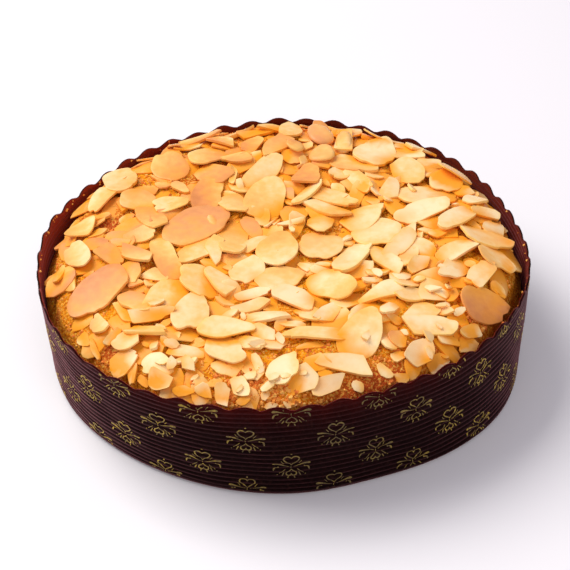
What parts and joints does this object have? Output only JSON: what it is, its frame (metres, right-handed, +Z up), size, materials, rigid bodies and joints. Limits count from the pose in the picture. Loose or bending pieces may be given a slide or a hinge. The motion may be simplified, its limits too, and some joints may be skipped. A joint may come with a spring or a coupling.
{
  "type": "bakewell tart",
  "caption": "Round uncut bakewell tart, domed almond sponge thick with toasted almond flakes, in a low brown paper baking case with a scalloped rim and a small gold flower print.",
  "frame": {"origin": "middle of the underside of the paper case", "axes": "+Z up through the cake; -Y is the side that faces the camera in the picture"},
  "size_m": [0.185, 0.1864, 0.0505],
  "materials": {
    "case_paper": "dark brown baking paper with fine ribs and a gold print, slightly shiny",
    "baked_cake": "golden sponge crumb under pale toasted almond flakes"
  },
  "bodies": {
    "root": {"paper_case": "case_paper", "cake": "baked_cake"}
  },
  "joints": []
}
